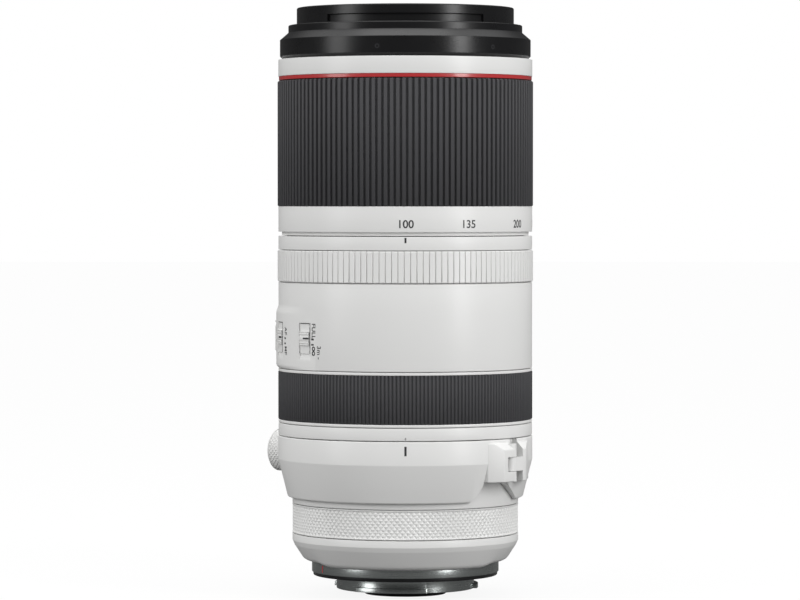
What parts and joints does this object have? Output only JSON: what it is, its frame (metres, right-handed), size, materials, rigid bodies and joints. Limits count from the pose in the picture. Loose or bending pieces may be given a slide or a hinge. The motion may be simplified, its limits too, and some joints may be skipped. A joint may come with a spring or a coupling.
{
  "type": "telephoto zoom camera lens",
  "caption": "White telephoto zoom camera lens with ribbed grips, slide switches, a bayonet mount and a hinged tripod collar; its front barrel extends as the zoom ring turns.",
  "frame": {"origin": "centre of the mount flange's rear face, on the optical axis", "axes": "+Z along the optical axis towards the front of the lens; -Y is the side with the zoom scale and the index line; +Y is the side of the tripod foot; -X is the side of the switches"},
  "size_m": [0.0988, 0.1251, 0.2159],
  "materials": {
    "white_shell": "satin white paint",
    "white_collar": "satin white paint",
    "light_ring": "satin white paint",
    "black_ring": "satin black",
    "red_stripe": "satin red",
    "grip_rubber": "matt",
    "gasket_rubber": "matt",
    "black_metal": "matt black",
    "black_plastic": "matt black",
    "grey_plastic": "satin",
    "switch_plastic": "satin dark grey",
    "mount_steel": "bright satin",
    "pin_steel": "ground",
    "brass_parts": "polished",
    "lens_glass": "coated",
    "circuit": "solder resist"
  },
  "bodies": {
    "barrel": {"guide_tube": "black_metal", "index_band": "light_ring", "main_barrel": "white_shell", "brake_pads": "grip_rubber", "switch_panel": "light_ring", "rear_barrel": "white_shell", "rear_band": "white_shell", "rear_cover": "light_ring", "mount_flange": "mount_steel", "mount_gasket": "gasket_rubber", "contact_block": "black_plastic", "contact_pins": "brass_parts", "rear_baffle": "black_plastic", "rear_element": "lens_glass", "circuit_board": "circuit", "focus_rails": "pin_steel", "rail_bridge": "black_metal", "focus_motor": "pin_steel"},
    "zoom_ring": {"zoom_ring": "white_shell", "zoom_grip": "grip_rubber", "cam_tube": "black_metal", "zoom_keys": "pin_steel"},
    "front_group": {"front_ring": "black_ring", "name_band": "light_ring", "accent_ring": "red_stripe", "extension_tube": "white_shell", "front_cell": "black_metal", "front_element": "lens_glass", "second_element": "lens_glass", "third_element": "lens_glass", "front_retainer": "black_metal", "doublet_retainer": "black_metal", "front_followers": "brass_parts"},
    "zoom_carrier": {"zoom_carrier": "black_plastic", "carrier_followers": "brass_parts", "zoom_elements": "lens_glass", "iris_housing": "black_plastic", "iris_blades": "black_metal", "iris_ring": "black_plastic"},
    "stabiliser_guide": {"stabiliser_guide": "black_plastic"},
    "stabiliser_frame": {"stabiliser_frame": "black_plastic", "stabiliser_element": "lens_glass"},
    "focus_carriage": {"focus_carriage": "black_plastic", "focus_element": "lens_glass"},
    "tension_ring": {"tension_ring": "light_ring"},
    "focus_ring": {"focus_ring": "light_ring", "focus_grip": "grip_rubber"},
    "control_ring": {"control_ring": "grey_plastic"},
    "collar": {"collar_base": "white_collar", "tripod_insert": "pin_steel", "hinge_pin": "pin_steel"},
    "collar_gate": {"collar_gate": "white_collar"},
    "lock_washer": {"lock_washer": "pin_steel"},
    "lock_knob": {"lock_knob": "black_metal"},
    "limiter_switch": {"limiter_switch": "switch_plastic"},
    "focus_mode_switch": {"focus_mode_switch": "switch_plastic"},
    "stabiliser_switch": {"stabiliser_switch": "switch_plastic"},
    "stabiliser_mode_switch": {"stabiliser_mode_switch": "switch_plastic"}
  },
  "joints": [
    {"name": "zoom_turn", "type": "hinge", "parent": "barrel", "child": "zoom_ring", "pos_m": [0, 0, 0.15], "axis": [0, 0, 1], "range_deg": [-120, 0]},
    {"name": "front_slide", "type": "slide", "parent": "barrel", "child": "front_group", "axis": [0, 0, 1], "range_m": [0, 0.0851]},
    {"name": "carrier_slide", "type": "slide", "parent": "barrel", "child": "zoom_carrier", "axis": [0, 0, 1], "range_m": [0, 0.0401]},
    {"name": "stabiliser_x", "type": "slide", "parent": "zoom_carrier", "child": "stabiliser_guide", "axis": [1, 0, 0], "range_m": [-0.001, 0.001]},
    {"name": "stabiliser_y", "type": "slide", "parent": "stabiliser_guide", "child": "stabiliser_frame", "axis": [0, 1, 0], "range_m": [-0.001, 0.001]},
    {"name": "focus_slide", "type": "slide", "parent": "barrel", "child": "focus_carriage", "axis": [0, 0, 1], "range_m": [0, 0.01]},
    {"name": "tension_turn", "type": "hinge", "parent": "barrel", "child": "tension_ring", "pos_m": [0, 0, 0.113], "axis": [0, 0, 1], "range_deg": [-60, 0]},
    {"name": "focus_turn", "type": "hinge", "parent": "barrel", "child": "focus_ring", "pos_m": [0, 0, 0.065], "axis": [0, 0, 1], "continuous": true},
    {"name": "control_turn", "type": "hinge", "parent": "barrel", "child": "control_ring", "pos_m": [0, 0, 0.02], "axis": [0, 0, 1], "continuous": true},
    {"name": "collar_turn", "type": "hinge", "parent": "barrel", "child": "collar", "pos_m": [0, 0, 0.039], "axis": [0, 0, 1], "continuous": true},
    {"name": "gate_swing", "type": "hinge", "parent": "collar", "child": "collar_gate", "pos_m": [0.0381, -0.02769, 0.042], "axis": [0, 0, 1], "range_deg": [0, 105]},
    {"name": "lock_travel", "type": "slide", "parent": "collar", "child": "lock_washer", "axis": [-0.809, 0.5878, 0], "range_m": [0, 0.0012]},
    {"name": "lock_turn", "type": "hinge", "parent": "lock_washer", "child": "lock_knob", "pos_m": [-0.03547, 0.03114, 0.0424], "axis": [-0.809, 0.5878, 0], "range_deg": [0, 540]},
    {"name": "limiter_slide", "type": "slide", "parent": "barrel", "child": "limiter_switch", "axis": [0, 0, -1], "range_m": [0, 0.002]},
    {"name": "focus_mode_slide", "type": "slide", "parent": "barrel", "child": "focus_mode_switch", "axis": [0, 0, -1], "range_m": [0, 0.002]},
    {"name": "stabiliser_slide", "type": "slide", "parent": "barrel", "child": "stabiliser_switch", "axis": [0, 0, -1], "range_m": [0, 0.002]},
    {"name": "stabiliser_mode_slide", "type": "slide", "parent": "barrel", "child": "stabiliser_mode_switch", "axis": [0, 0, -1], "range_m": [0, 0.004]}
  ],
  "couplings": [
    {"joint": "front_slide", "follows": "zoom_turn", "m_per_rad": -0.040585},
    {"joint": "carrier_slide", "follows": "zoom_turn", "m_per_rad": -0.019099},
    {"joint": "lock_travel", "follows": "lock_turn", "m_per_rad": 0.0001114}
  ]
}
